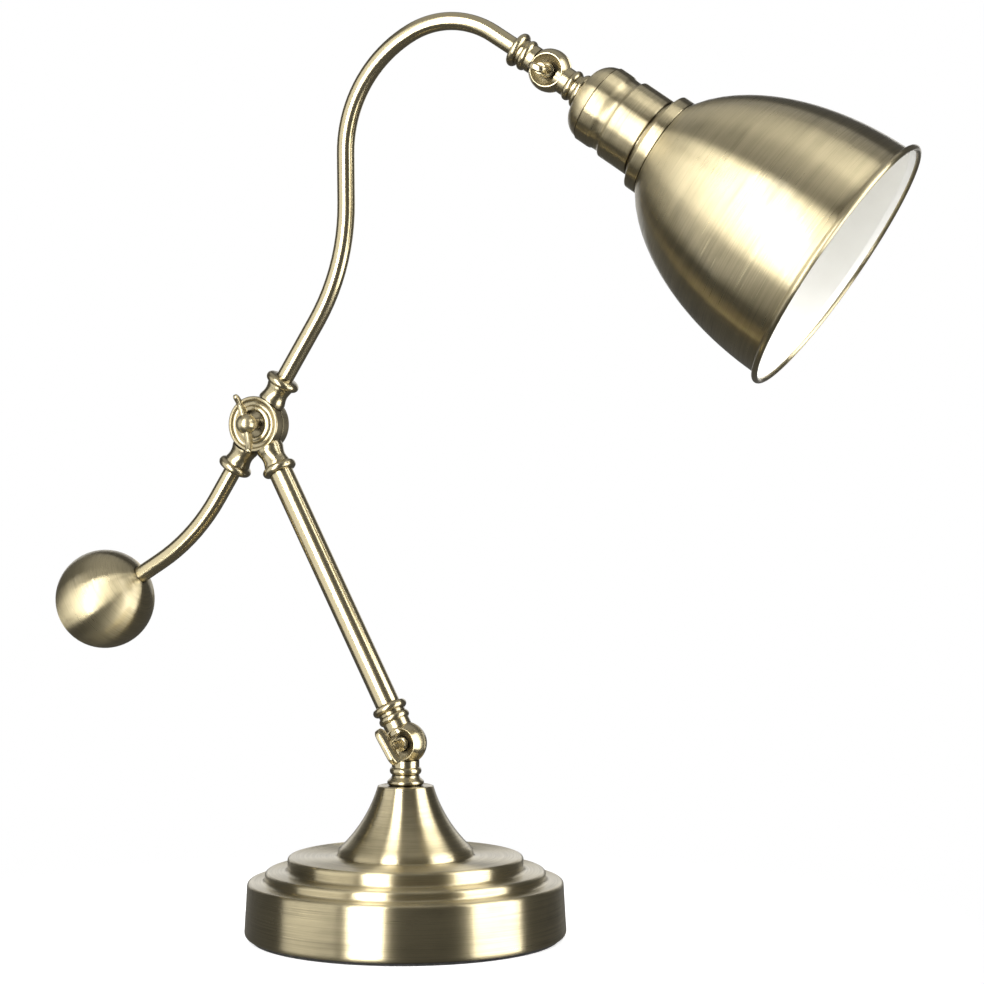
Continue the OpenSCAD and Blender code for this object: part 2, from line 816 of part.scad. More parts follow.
base_cover();
base_weight();
base_plate();
foot_pad();
base_rod();
rod_washer();
rod_nut();
cable_bushing();
neck_collar();
lower_knuckle_base_half();
lead_in_base();
lower_knuckle_arm_half();
lower_knuckle_washer();
lower_tube();
hub_front_plate();
lead_in_lower_arm();
lower_clamp_screw();
hub_back_plate();
hub_washer();
upper_tube();
counterweight_tube();
counterweight_ball();
head_knuckle_arm_half();
head_knuckle_washer();
lead_in_upper_arm();
hub_clamp_screw();
head_knuckle_shade_half();
head_nipple();
nipple_nut();
lampholder_cup();
lampholder_sleeve();
lampholder_body();
lamp_thread_shell();
lamp_contact();
lead_in_head();
shade_gallery();
shade();
shade_lining();
shade_ring();
head_clamp_screw();
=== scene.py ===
# %% [markdown]
# # A counterbalanced brass desk lamp
#
# The lamp stands on a stepped round base. A lower arm tilts on a ball knuckle, a two-plate hub
# carries one rigid lever, and a bell shade tilts on a second knuckle. Nearly every piece of the
# real lamp is turned or spun on a lathe, and the rest is bent tube. So this lesson has two main
# tools, a lathe and a tube bender, and one brass finish that keeps the marks of the lathe.

# %% Load the fixed frame
import json
import math

import bmesh
import bpy
from mathutils import Matrix, Vector


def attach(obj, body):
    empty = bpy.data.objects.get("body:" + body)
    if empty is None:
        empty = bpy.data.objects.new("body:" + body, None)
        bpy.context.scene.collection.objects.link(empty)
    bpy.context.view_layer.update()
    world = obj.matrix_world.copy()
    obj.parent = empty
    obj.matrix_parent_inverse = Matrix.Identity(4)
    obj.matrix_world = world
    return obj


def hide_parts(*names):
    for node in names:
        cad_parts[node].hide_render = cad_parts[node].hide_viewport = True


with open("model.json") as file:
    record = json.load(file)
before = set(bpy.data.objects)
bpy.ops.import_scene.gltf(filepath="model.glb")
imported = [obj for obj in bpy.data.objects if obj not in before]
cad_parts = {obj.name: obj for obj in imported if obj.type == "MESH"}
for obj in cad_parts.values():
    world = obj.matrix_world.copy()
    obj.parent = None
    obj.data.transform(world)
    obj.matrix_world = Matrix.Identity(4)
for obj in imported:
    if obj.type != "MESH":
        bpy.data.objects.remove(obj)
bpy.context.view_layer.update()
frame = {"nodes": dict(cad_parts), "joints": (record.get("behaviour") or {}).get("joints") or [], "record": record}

# %% [markdown]
# ## Pivots and directions
#
# Every piece hangs from one of three pivots. Their places are the joints of the frame, so they
# are read from it and not typed in again. The shade's axis is the way a lamp bulb leaves its
# thread, which the frame states as a mount.

# %% Pivots from the frame
MM = 0.001
FRONT = Vector((0, -1, 0))          # the side the clamp screws are on
UP = Vector((0, 0, 1))
joints = {joint["name"]: joint for joint in frame["joints"]}
mounts = {mount["name"]: mount for mount in frame["record"]["mounts"]}
lower_pivot = Vector(joints["lower_tilt"]["pos_m"])
hub_pivot = Vector(joints["arm_tilt"]["pos_m"])
head_pivot = Vector(joints["head_tilt"]["pos_m"])
head_front = -Vector(joints["head_tilt"]["axis"]).normalized()
shade_axis = Vector(mounts["lamp_thread"]["axis"]).normalized()
lower_axis = (hub_pivot - lower_pivot).normalized()
print("lower arm is", round((hub_pivot - lower_pivot).length / MM, 1), "mm between pivots")

# %% [markdown]
# ## Camera
#
# A product photographer stands well back with a long lens, level with about the middle of the
# lamp, so its uprights stay upright. The camera is turned about the lamp's vertical axis and
# points down by less than a degree.

# %% Camera
VIEW_TURN = 24.6                    # degrees round the lamp from straight in front
VIEW_DISTANCE = 1.5
VIEW_HEIGHT = 0.267
VIEW_ASIDE = 0.04835                # how far the camera is moved to its own right
VIEW_DIP = 0.67                     # degrees below level
SENSOR_WIDTH = 36
LENS = 98.17
view_right = Vector((math.cos(math.radians(VIEW_TURN)), math.sin(math.radians(VIEW_TURN)), 0))
view_back = Vector((math.sin(math.radians(VIEW_TURN)), -math.cos(math.radians(VIEW_TURN)), 0))


def add_object(name, data):
    """Makes an object and puts it in the scene."""
    made = bpy.data.objects.new(name, data)
    bpy.context.scene.collection.objects.link(made)
    return made


camera = add_object("camera", bpy.data.cameras.new("camera"))
camera.data.sensor_width = SENSOR_WIDTH
camera.data.lens = LENS
camera.location = view_back * VIEW_DISTANCE + view_right * VIEW_ASIDE + UP * VIEW_HEIGHT
camera.rotation_euler = (math.radians(90 - VIEW_DIP), 0, math.radians(VIEW_TURN))
bpy.context.scene.camera = camera
print("camera at", [round(c, 3) for c in camera.location])

# %% [markdown]
# ## Studio
#
# Brushed metal shows little but its surroundings, so the lights are the larger half of the
# finish. Two tall soft boxes draw the white bands down every turned piece, a dimmer panel on
# the left draws a fainter one, and the room between them stays grey, which keeps the edges
# dark. A panel behind lights the rims, and a wide ceiling light the tops. The boxes reach below
# the floor's level, because a vertical wall seen from above reflects what is lower than itself.
# The floor is plain and pale, fades out before its edge, and is left out of the reflections.

# %% Lights
CEILING_SIZE = 3.4
CEILING_HEIGHT = 2.4
CEILING_GLOW = 0.4


def soft_box(name, turn, distance, width, low, high, glow):
    """A tall panel of light. turn is its angle round the lamp from the camera, to the right."""
    light = add_object(name, bpy.data.lights.new(name, "AREA"))
    light.data.shape = "RECTANGLE"
    light.data.size, light.data.size_y = width, high - low
    light.data.energy = glow * math.pi * width * (high - low)
    out = view_back * math.cos(math.radians(turn)) + view_right * math.sin(math.radians(turn))
    light.location = out * distance + UP * (low + high) / 2
    light.rotation_euler = out.to_track_quat("Z", "Y").to_euler()
    light.visible_camera = False
    print(name, "glows", glow)


ceiling = add_object("ceiling", bpy.data.lights.new("ceiling", "AREA"))
ceiling.data.size = CEILING_SIZE
ceiling.data.energy = CEILING_GLOW * math.pi * ceiling.data.size ** 2
ceiling.location = (0, 0, CEILING_HEIGHT)
ceiling.visible_camera = False
soft_box("left_box", turn=-27, distance=2.2, width=0.95, low=-0.9, high=2.6, glow=11.0)
soft_box("right_box", turn=70, distance=2.2, width=1.6, low=-0.9, high=2.6, glow=5.5)
soft_box("left_panel", turn=-71, distance=2.3, width=2.0, low=-0.9, high=2.2, glow=1.25)
soft_box("back_panel", turn=180, distance=2.2, width=2.6, low=0.25, high=1.3, glow=0.9)

# %% Room and floor
ROOM_GREY = 0.11                    # what the metal sees between the lights
ROOM_FILL = 0.34                    # what falls on matt surfaces from all round
FLOOR_R = 0.4
FLOOR_FADE = (0.10, 0.34)           # how far out the fade starts, and where the floor is gone
FLOOR_GREY = 0.93
FLOOR_GLOW = 0.45
world = bpy.data.worlds.new("room")
world.use_nodes = True
nodes, links = world.node_tree.nodes, world.node_tree.links
nodes.clear()
seen = nodes.new("ShaderNodeLightPath")


def background(level):
    node = nodes.new("ShaderNodeBackground")
    node.inputs["Color"].default_value = (level, level, level * 0.98, 1)
    return node.outputs[0]


def either(ray, first, second):
    """Gives the second shader to one kind of ray, and the first to all the others."""
    node = nodes.new("ShaderNodeMixShader")
    links.new(seen.outputs[ray], node.inputs["Fac"])
    links.new(first, node.inputs[1])
    links.new(second, node.inputs[2])
    return node.outputs[0]


white = nodes.new("ShaderNodeBackground")
white.inputs["Color"].default_value = (1, 1, 1, 1)
surroundings = either("Is Glossy Ray", background(ROOM_FILL), background(ROOM_GREY))
out = nodes.new("ShaderNodeOutputWorld")
links.new(either("Is Camera Ray", surroundings, white.outputs[0]), out.inputs["Surface"])
bpy.context.scene.world = world
bpy.context.scene.view_settings.view_transform = "Standard"


def new_material(name):
    """Gives back a material, its node tree and its Principled node."""
    material = bpy.data.materials.new(name)
    material.use_nodes = True
    return material, material.node_tree, material.node_tree.nodes["Principled BSDF"]


disc = bmesh.new()
bmesh.ops.create_circle(disc, cap_ends=True, radius=FLOOR_R, segments=64)
floor_mesh = bpy.data.meshes.new("floor")
disc.to_mesh(floor_mesh)
disc.free()
floor = add_object("floor", floor_mesh)
floor.visible_glossy = False
paper, tree, shader = new_material("floor_paper")
shader.inputs["Base Color"].default_value = (FLOOR_GREY, FLOOR_GREY, FLOOR_GREY, 1)
shader.inputs["Roughness"].default_value = 0.9
shader.inputs["Emission Color"].default_value = (1, 1, 1, 1)
shader.inputs["Emission Strength"].default_value = FLOOR_GLOW
reach = tree.nodes.new("ShaderNodeVectorMath")
reach.operation = "LENGTH"
tree.links.new(tree.nodes.new("ShaderNodeTexCoord").outputs["Object"], reach.inputs[0])
fade = tree.nodes.new("ShaderNodeMapRange")
fade.interpolation_type = "SMOOTHSTEP"
for socket, number in zip(("From Min", "From Max", "To Min", "To Max"), (*FLOOR_FADE, 1, 0)):
    fade.inputs[socket].default_value = number
tree.links.new(reach.outputs["Value"], fade.inputs["Value"])
tree.links.new(fade.outputs["Result"], shader.inputs["Alpha"])
floor_mesh.materials.append(paper)

# %% [markdown]
# ## Marks of the lathe
#
# A lathe leaves fine rings round the work, and a hand that holds abrasive against it leaves
# broader, uneven ones. Both are noise that is stretched a long way round the piece. Each piece
# carries a map called "turning": its first number is the distance along the outline in metres,
# and its second is the turn, from 0 to 1. The turn is bent into a circle before the noise reads
# it, so that nothing shows where 1 meets 0.

# %% Shader helpers
def new_group(name, inputs, outputs):
    """A shader node group with named sockets. Gives back its tree, its input and its output."""
    tree = bpy.data.node_groups.new(name, "ShaderNodeTree")
    for socket, kind in inputs:
        tree.interface.new_socket(socket, in_out="INPUT", socket_type=kind)
    for socket, kind in outputs:
        tree.interface.new_socket(socket, in_out="OUTPUT", socket_type=kind)
    return tree, tree.nodes.new("NodeGroupInput"), tree.nodes.new("NodeGroupOutput")


def add_math(tree, operation, first, second=None):
    """One Math node. Each operand is a socket or a number."""
    node = tree.nodes.new("ShaderNodeMath")
    node.operation = operation
    for slot, operand in zip(node.inputs, (first, second)):
        if isinstance(operand, (int, float)):
            slot.default_value = operand
        elif operand is not None:
            tree.links.new(operand, slot)
    return node.outputs[0]


def add_noise(tree, vector, scale, detail=3):
    node = tree.nodes.new("ShaderNodeTexNoise")
    node.inputs["Scale"].default_value = scale
    node.inputs["Detail"].default_value = detail
    tree.links.new(vector, node.inputs["Vector"])
    return node.outputs["Fac"]


def add_ramp(tree, value, low, high, out_low=0.0, out_high=1.0):
    """Stretches a value from low..high to out_low..out_high, and stops at both ends."""
    node = tree.nodes.new("ShaderNodeMapRange")
    tree.links.new(value, node.inputs["Value"])
    for socket, number in zip(("From Min", "From Max", "To Min", "To Max"),
                              (low, high, out_low, out_high)):
        node.inputs[socket].default_value = number
    return node.outputs["Result"]


def add_mix(tree, amount, first, second):
    """Mixes two colours, each a socket or an (r, g, b) tuple."""
    node = tree.nodes.new("ShaderNodeMix")
    node.data_type = "RGBA"
    for socket, value in (("Factor", amount), ("A", first), ("B", second)):
        slot = [s for s in node.inputs if s.name == socket
                and s.type == ("VALUE" if socket == "Factor" else "RGBA")][0]
        if isinstance(value, tuple):
            slot.default_value = (*value, 1)
        elif isinstance(value, (int, float)):
            slot.default_value = value
        else:
            tree.links.new(value, slot)
    return [s for s in node.outputs if s.type == "RGBA"][0]


def add_bump(tree, shader, height, strength, distance):
    """Lets a height from 0 to 1 raise the surface by distance, in metres."""
    node = tree.nodes.new("ShaderNodeBump")
    node.inputs["Strength"].default_value = strength
    node.inputs["Distance"].default_value = distance
    tree.links.new(height, node.inputs["Height"])
    tree.links.new(node.outputs["Normal"], shader.inputs["Normal"])


# %% Group: lathe marks
lathe_marks, given, result = new_group(
    "lathe_marks", [("Turning", "NodeSocketVector"), ("Along", "NodeSocketFloat"),
                    ("Around", "NodeSocketFloat")],
    [("Fine", "NodeSocketFloat"), ("Broad", "NodeSocketFloat")])
parts = lathe_marks.nodes.new("ShaderNodeSeparateXYZ")
lathe_marks.links.new(given.outputs["Turning"], parts.inputs[0])
angle = add_math(lathe_marks, "MULTIPLY", parts.outputs["Y"], math.tau)
for socket, coarser in (("Fine", 1), ("Broad", 1 / 14)):
    density = add_math(lathe_marks, "MULTIPLY", given.outputs["Along"], coarser)
    reach = add_math(lathe_marks, "MULTIPLY", given.outputs["Around"], coarser ** 0.25)
    spot = lathe_marks.nodes.new("ShaderNodeCombineXYZ")
    lathe_marks.links.new(add_math(lathe_marks, "MULTIPLY", parts.outputs["X"], density),
                          spot.inputs["X"])
    for axis, wave in (("Y", "COSINE"), ("Z", "SINE")):
        lathe_marks.links.new(
            add_math(lathe_marks, "MULTIPLY", add_math(lathe_marks, wave, angle), reach),
            spot.inputs[axis])
    lathe_marks.links.new(add_noise(lathe_marks, spot.outputs[0], 1.0), result.inputs[socket])
print("group", lathe_marks.name)

# %% [markdown]
# ## Antique brass
#
# Antique brass is bright brass that was darkened in a bath, brushed back on the lathe and
# lacquered. The brushing takes the dark off the raised parts and leaves it in the grooves. The
# metal is a plain metallic shader whose grain spreads a reflection along the piece's axis, so it
# is given anisotropy, with the map's first direction as its tangent. An ambient occlusion node
# darkens the colour wherever other surfaces are near. In the grooves that stands for the dark of
# the finish, and in creases and between parts it is painted shade. The lathe marks break up the
# colour, the roughness and the surface.

# %% Material: antique brass
BRASS = (0.56, 0.48, 0.295)
# The colour that ambient occlusion mixes in: the finish's own dark in the grooves, and painted shade in creases
# and between parts.
PATINA_AND_SHADE_COLOUR = (0.075, 0.060, 0.035)
LACQUER = 0.35
LACQUER_ROUGHNESS = 0.16


def antique_brass(name, tone, roughness, spread, marks, occlusion_reach, fineness=(2600, 1.4)):
    """tone is how far it is brushed back, marks scales the lathe's rings, and occlusion_reach is
    how far the ambient occlusion looks, which sets how wide a groove or gap is darkened, partly as
    the finish's own dark and partly as painted shade. fineness is how fine the marks are along the
    piece, per metre, and around it."""
    brass = tuple(tone * c for c in BRASS)
    material, tree, shader = new_material(name)
    turning = tree.nodes.new("ShaderNodeUVMap")
    turning.uv_map = "turning"
    rings = tree.nodes.new("ShaderNodeGroup")
    rings.node_tree = lathe_marks
    tree.links.new(turning.outputs["UV"], rings.inputs["Turning"])
    rings.inputs["Along"].default_value, rings.inputs["Around"].default_value = fineness
    place = tree.nodes.new("ShaderNodeTexCoord").outputs["Object"]
    cloud = add_noise(tree, place, 38, 4)
    # Painted shade: ambient occlusion darkens the colour wherever other surfaces are near, in creases and between
    # parts, and in the grooves it also stands for the dark the finish keeps.
    occlusion_shade = tree.nodes.new("ShaderNodeAmbientOcclusion")
    occlusion_shade.samples = 6
    occlusion_shade.inputs["Distance"].default_value = occlusion_reach
    patina_and_shade = add_ramp(tree, occlusion_shade.outputs["AO"], 0.3, 0.85, 0.95, 0.0)
    stain = add_math(tree, "MULTIPLY", add_ramp(tree, cloud, 0.35, 0.75),
                     add_ramp(tree, rings.outputs["Broad"], 0.35, 0.7))
    worn = add_mix(tree, add_math(tree, "MULTIPLY", stain, 0.6 * marks),
                   brass, tuple(0.55 * c for c in brass))
    lined = add_mix(tree, add_ramp(tree, rings.outputs["Fine"], 0.45, 0.75, 0.0, 0.30 * marks),
                    worn, tuple(0.4 * c for c in brass))
    tree.links.new(add_mix(tree, patina_and_shade, lined, PATINA_AND_SHADE_COLOUR), shader.inputs["Base Color"])
    uneven = add_math(tree, "ADD", add_ramp(tree, rings.outputs["Fine"], 0.3, 0.7, -0.05 * marks,
                                            0.05 * marks),
                      add_ramp(tree, cloud, 0.3, 0.7, roughness - 0.03, roughness + 0.03))
    tree.links.new(uneven, shader.inputs["Roughness"])
    add_bump(tree, shader, rings.outputs["Fine"], 0.32 * marks, 0.00004)
    grain = tree.nodes.new("ShaderNodeTangent")
    grain.direction_type = "UV_MAP"
    grain.uv_map = "turning"
    tree.links.new(grain.outputs["Tangent"], shader.inputs["Tangent"])
    shader.inputs["Metallic"].default_value = 1.0
    shader.inputs["Anisotropic"].default_value = spread
    shader.inputs["Coat Weight"].default_value = LACQUER
    shader.inputs["Coat Roughness"].default_value = LACQUER_ROUGHNESS
    print("material", name)
    return material


brushed_brass = antique_brass("brushed_brass", tone=1.0, roughness=0.34, spread=1.0, marks=1.3,
                              occlusion_reach=0.003)
turned_brass = antique_brass("turned_brass", tone=0.78, roughness=0.28, spread=0.6, marks=0.35,
                             occlusion_reach=0.005)
# tube is drawn through a die, so its marks run lengthwise
tube_brass = antique_brass("tube_brass", tone=0.95, roughness=0.24, spread=0.5, marks=0.3,
                           occlusion_reach=0.003, fineness=(40, 12))

# %% [markdown]
# ## The plainer finishes
#
# The rest is what a lamp maker buys in: stove enamel, glazed porcelain, cast iron, zinc-plated
# steel, bare brass, moulded plastic, fibre and felt. They share one builder, because each is a
# colour that varies a little, a roughness that varies a little, and a grain of its own size.

# %% Material: plain finishes
def plain_finish(name, colour, shade, roughness, grain, depth, metallic=0.0, stretch=(1, 1, 1)):
    """grain is the size of the surface's texture in metres, and depth how far it stands up."""
    material, tree, shader = new_material(name)
    mapping = tree.nodes.new("ShaderNodeMapping")
    mapping.inputs["Scale"].default_value = stretch
    tree.links.new(tree.nodes.new("ShaderNodeTexCoord").outputs["Object"], mapping.inputs["Vector"])
    place = mapping.outputs["Vector"]
    fine = add_noise(tree, place, 1 / grain, 3)
    cloud = add_noise(tree, place, 0.06 / grain, 3)
    tint = add_mix(tree, add_ramp(tree, cloud, 0.35, 0.7), colour, shade)
    tree.links.new(tint, shader.inputs["Base Color"])
    tree.links.new(add_ramp(tree, fine, 0.3, 0.7, roughness - 0.05, roughness + 0.05),
                   shader.inputs["Roughness"])
    add_bump(tree, shader, fine, 0.4, depth)
    shader.inputs["Metallic"].default_value = metallic
    print("material", name)
    return material


enamel = plain_finish("white_enamel", (0.88, 0.875, 0.84), (0.84, 0.83, 0.79),
                      roughness=0.38, grain=0.0016, depth=3e-5)
porcelain = plain_finish("porcelain", (0.86, 0.85, 0.81), (0.80, 0.79, 0.74),
                         roughness=0.12, grain=0.004, depth=2e-5)
cast_iron = plain_finish("cast_iron", (0.055, 0.055, 0.06), (0.10, 0.09, 0.085),
                         roughness=0.7, grain=0.0009, depth=2e-4, metallic=0.6)
zinc_steel = plain_finish("zinc_steel", (0.55, 0.56, 0.58), (0.45, 0.46, 0.48), roughness=0.32,
                          grain=0.0007, depth=2e-5, metallic=1.0, stretch=(1, 1, 6))
bare_brass = plain_finish("bare_brass", (0.72, 0.55, 0.25), (0.58, 0.43, 0.18), roughness=0.25,
                          grain=0.0008, depth=2e-5, metallic=1.0, stretch=(1, 1, 5))
black_plastic = plain_finish("black_plastic", (0.022, 0.022, 0.024), (0.03, 0.03, 0.03),
                             roughness=0.45, grain=0.0005, depth=4e-5)
lead_cover = plain_finish("lead_cover", (0.30, 0.30, 0.31), (0.24, 0.24, 0.25),
                          roughness=0.5, grain=0.0008, depth=2e-5)
fibre = plain_finish("fibre", (0.12, 0.07, 0.04), (0.08, 0.05, 0.03),
                     roughness=0.75, grain=0.0004, depth=6e-5)
felt = plain_finish("felt", (0.018, 0.018, 0.018), (0.035, 0.034, 0.033),
                    roughness=0.95, grain=0.0003, depth=3e-4)

# %% [markdown]
# ## A lathe
#
# A turned piece is one outline of (radius, height) points, spun about its own axis. Arcs in the
# outline are worked out from a centre and two angles, as a turner would strike them. The shell
# is made in millimetres at the origin, gets its "turning" map there, and is then put in place by
# a matrix whose Z runs along the piece and whose -Y is the front.

# %% Outline helpers
def arc(centre_r, centre_z, radius, first, last, pieces=6):
    """Points of an arc in an outline. Angles are in degrees, 0 outwards and 90 upwards."""
    angles = [math.radians(first + (last - first) * k / pieces) for k in range(pieces + 1)]
    return [(centre_r + radius * math.cos(a), centre_z + radius * math.sin(a)) for a in angles]


def bead(diameter, width, height, neck_r, pieces=10):
    """A rounded ring that stands out of a neck of radius neck_r."""
    radius = width / 2
    centre = diameter / 2 - radius
    reach = math.degrees(math.acos(max(-1, min(1, (neck_r - centre) / radius))))
    return arc(centre, height, radius, -reach, reach, pieces)


def at(origin, along, front=FRONT):
    """Matrix of a place: Z along the piece, -Y towards the front."""
    z = along.normalized()
    y = -(front - z * front.dot(z)).normalized()
    x = y.cross(z)
    matrix = Matrix((x, y, z)).transposed().to_4x4()
    matrix.translation = origin
    return matrix


# %% The lathe
def write_turning(shell, along, around):
    """Writes the turning map from two number layers, and mends the faces that cross the seam."""
    turning = shell.loops.layers.uv.new("turning")
    for face in shell.faces:
        turns = [loop.vert[around] for loop in face.loops]
        for loop, turn in zip(face.loops, turns):
            if max(turns) - min(turns) > 0.5 and turn < 0.5:
                turn += 1
            loop[turning].uv = (loop.vert[along], turn)


def lathe(outline, steps=96, closed=False):
    """Spins an outline in millimetres about Z, and gives back a shell in metres."""
    shell = bmesh.new()
    along = shell.verts.layers.float.new("along")
    around = shell.verts.layers.float.new("around")
    points, gone, last = [], 0.0, None
    for r, z in outline:
        spot = Vector((r * MM, 0, z * MM))
        gone += (spot - last).length if last else 0
        last = spot
        vert = shell.verts.new(spot)
        vert[along] = gone
        points.append(vert)
    for a, b in zip(points, points[1:] + points[:1] if closed else points[1:]):
        shell.edges.new((a, b))
    bmesh.ops.spin(shell, geom=shell.verts[:] + shell.edges[:], cent=(0, 0, 0), axis=(0, 0, 1),
                   angle=math.tau, steps=steps, use_merge=True)
    bmesh.ops.remove_doubles(shell, verts=shell.verts, dist=1e-7)
    bmesh.ops.recalc_face_normals(shell, faces=shell.faces)
    for vert in shell.verts:
        vert[around] = (math.atan2(vert.co.y, vert.co.x) / math.tau) % 1
    write_turning(shell, along, around)
    return shell


# %% Put shells together as a piece
SHARP = math.radians(38)
counts = {}


def piece(name, body, stands_for, material, shells):
    """Joins (shell, matrix) pairs into one object that rides on a body."""
    mesh = bpy.data.meshes.new(name)
    whole = bmesh.new()
    for shell, matrix in shells:
        shell.transform(matrix)
        part = bpy.data.meshes.new("part")
        shell.to_mesh(part)
        shell.free()
        whole.from_mesh(part)
        bpy.data.meshes.remove(part)
    for face in whole.faces:
        face.smooth = True
    whole.to_mesh(mesh)
    counts[name] = sum(len(face.verts) - 2 for face in whole.faces)
    whole.free()
    mesh.set_sharp_from_angle(angle=SHARP)
    mesh.materials.append(material)
    made = add_object(name, mesh)
    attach(made, body)
    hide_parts(*stands_for)
    print(name, counts[name], "triangles")


# %% [markdown]
# ## The base
#
# The base is one spun brass cover over an iron weight. Spinning presses a sheet over a wooden
# form, so its steps have soft edges and soft inner corners of about 2 mm, and its side leans in
# a little. The cone is a hollow flare that stands on a small step. The cover is the outer
# outline, then the same outline a wall's thickness further in, spun as one closed shell.

# %% Base cover
def cover_outline(inset):
    """Half section of the cover from its lower edge to the cone's top, moved in by inset."""
    foot, top, foot_z, top_z, flare = 37.5, 15.6, 50.0, 85.0, 77.2
    chord = math.hypot(foot - top, top_z - foot_z)
    tilt = math.atan2(top_z - foot_z, foot - top)
    rise = math.sqrt(flare ** 2 - chord ** 2 / 4)
    flare_r = (foot + top) / 2 + rise * math.sin(tilt)
    flare_z = (foot_z + top_z) / 2 + rise * math.cos(tilt)
    first = math.degrees(math.atan2(foot_z - flare_z, foot - flare_r))
    last = math.degrees(math.atan2(top_z - flare_z, top - flare_r))
    return (arc(87, 4.5, 3 - inset, -90, 0)
            + arc(86.5, 30.3, 2 - inset, 0, 90)
            + arc(80.5, 34.3, 2 + inset, 270, 180)
            + arc(76.5, 36.0, 2 - inset, 0, 90)
            + arc(68.0, 40.0, 2 + inset, 270, 180)
            + arc(64.0, 44.0, 2 - inset, 0, 90)
            + arc(foot + 1.8, 47.2, 1.2 + inset, 270, 180, 4)
            + arc(flare_r, flare_z, flare + inset, first % 360 - 360, last % 360 - 360, 14)
            + arc(top - 0.9, top_z - 0.6, 0.9 - inset * 0.6, 20, 90, 3)
            + [(5.2, top_z - inset + 0.3)])


COVER_WALL = 1.2
outer, inner = cover_outline(0), cover_outline(COVER_WALL)
piece("spun_base_cover", "base", ["base_cover"], brushed_brass,
      [(lathe(outer + inner[::-1], 160, closed=True), Matrix())])

# %% [markdown]
# ## Knuckles
#
# Each knuckle is a ball, cut in two across its screw. One half has a dished face with a lip,
# the other is plain and takes the thread. A short neck with two beads leaves each half. The
# ball halves are turned about the screw and the necks about themselves. A neck's root is
# hollowed to clear the other half, and a block cut at the split fills it on its own side.

# %% Knuckle shells
BALL_R = 12.0
SPLIT = 0.4                         # half the gap between the two halves
BALL_EDGE = math.degrees(math.asin(0.9 / BALL_R))    # where the round starts, above the split
ROOT_REACH = (6, 12.7)
KNUCKLE_STEPS = 72
NECK_R = 7.7
CLEAR_R = BALL_R + 0.4
BORE_R = 2.5


def dished_half():
    dish_centre = 7 + math.sqrt(BALL_R ** 2 - 8.5 ** 2)
    rim = math.degrees(math.asin(dish_centre / 2 / BALL_R))
    rim_r = BALL_R * math.cos(math.radians(rim))
    bore = math.degrees(math.acos(BORE_R / BALL_R))
    lip = [(rim_r + 0.05, dish_centre / 2 + 0.12), (rim_r - 0.35, dish_centre / 2 + 0.16),
           (rim_r - 0.7, dish_centre / 2 - 0.12)]
    return ([(BORE_R, SPLIT), (BALL_R - 0.5, SPLIT)]
            + arc(0, 0, BALL_R, BALL_EDGE, rim - 2, 12) + lip
            + arc(0, dish_centre, BALL_R, -rim - 5, -bore, 8))


def plain_half():
    return [(0, SPLIT), (BALL_R - 0.5, SPLIT)] + arc(0, 0, BALL_R, BALL_EDGE, 90, 16)


def neck_outline(tube_r, last_bead=True):
    root = math.degrees(math.acos(NECK_R / CLEAR_R))
    outline = arc(0, 0, CLEAR_R, 90, root, 6) + bead(17.8, 4.8, 15.4, NECK_R)
    if not last_bead:
        return outline + [(0, 17.8)]
    return outline + bead(20, 4.8, 21.4, NECK_R)[:-2] + [(7.4, 23.85), (tube_r + 0.3, 24), (0, 24)]


def split(shell, side):
    """Cuts a block off at its half's face and closes the cut."""
    geometry = shell.verts[:] + shell.edges[:] + shell.faces[:]
    bmesh.ops.bisect_plane(shell, geom=geometry, dist=1e-7, plane_co=(0, side * SPLIT * MM, 0),
                           plane_no=(0, -side, 0), clear_outer=True)
    bmesh.ops.holes_fill(shell, edges=[e for e in shell.edges if e.is_boundary], sides=0)
    bmesh.ops.recalc_face_normals(shell, faces=shell.faces)
    return shell


def neck_root(side, reach, radius):
    """The block that joins a neck to its own half: a short bar, cut off at the split."""
    return split(lathe([(0, reach[0]), (radius, reach[0]), (radius, reach[1]), (0, reach[1])], 48),
                 side)


def knuckle_half(name, body, node, pivot, along, side, tube_r, front=FRONT, last_bead=True):
    """side -1 is the dished half at the front, 1 the plain half at the back."""
    outline = dished_half() if side < 0 else plain_half()
    half = lathe(outline, KNUCKLE_STEPS, closed=side < 0)
    face = at(pivot, front if side < 0 else -front, along)
    place = at(pivot, along, front)
    piece(name, body, [node], turned_brass,
          [(half, face), (lathe(neck_outline(tube_r, last_bead), KNUCKLE_STEPS), place),
           (neck_root(side, ROOT_REACH, NECK_R - 0.02), place)])


# %% Lower knuckle
knuckle_half("lower_ball_back", "base", "lower_knuckle_base_half", lower_pivot, -UP, 1, 5,
             last_bead=False)
knuckle_half("lower_ball_front", "lower_arm", "lower_knuckle_arm_half", lower_pivot, lower_axis,
             -1, 7)
collar_z = lower_pivot.z / MM - 17.8
piece("turned_neck_collar", "base", ["neck_collar"], turned_brass,
      [(lathe([(0, 85.2), (9.0, 85.2)] + arc(8.6, 87.1, 1.7, -75, 60, 9)
              + [(8.3, collar_z - 1.6), (7.7, collar_z - 0.6), (7.6, collar_z), (0, collar_z)],
              KNUCKLE_STEPS), Matrix())])

# %% [markdown]
# ## A tube bender
#
# The arms are drawn tube, bent round formers. A tube starts as a ring of edges. It is pulled out
# for each straight, and for each bend it is swung about the former's centre, a few degrees at a
# time. The path is a list of straights and bends in one plane, with headings from level.

# %% The tube bender
BEND_STEP = 3.0                     # degrees swung at a time


def heading_way(heading):
    """The direction in the XZ plane of a heading, in degrees from level."""
    return Vector((math.cos(math.radians(heading)), 0, math.sin(math.radians(heading))))


